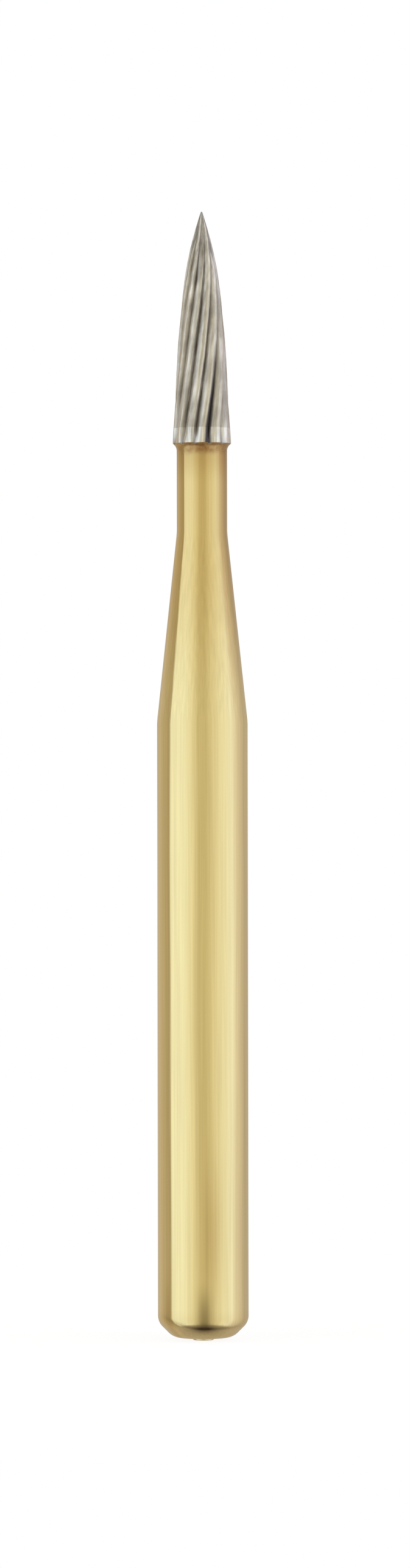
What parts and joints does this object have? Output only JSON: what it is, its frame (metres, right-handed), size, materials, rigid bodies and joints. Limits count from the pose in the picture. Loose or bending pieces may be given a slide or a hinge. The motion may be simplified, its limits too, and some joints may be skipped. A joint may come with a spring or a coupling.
{
  "type": "dental bur",
  "caption": "Slim friction-grip finishing bur: pointed, helically fluted carbide head on a gold-finished steel shank with a neck, a long shoulder taper and a rounded plain end.",
  "frame": {"origin": "centre of the plain end of the shank, on the face of its small turning nub", "axes": "+Z along the bur's axis of rotation, from the plain end to the point; +Y away from the viewer of the picture"},
  "size_m": [0.0016, 0.0016, 0.0199],
  "materials": {
    "carbide": "ground tungsten carbide, satin",
    "gold_finished_steel": "polished pale gold finish on steel, bare ground steel on the fluted collar"
  },
  "bodies": {
    "root": {"cutting_head": "carbide", "shank": "gold_finished_steel"}
  },
  "joints": []
}
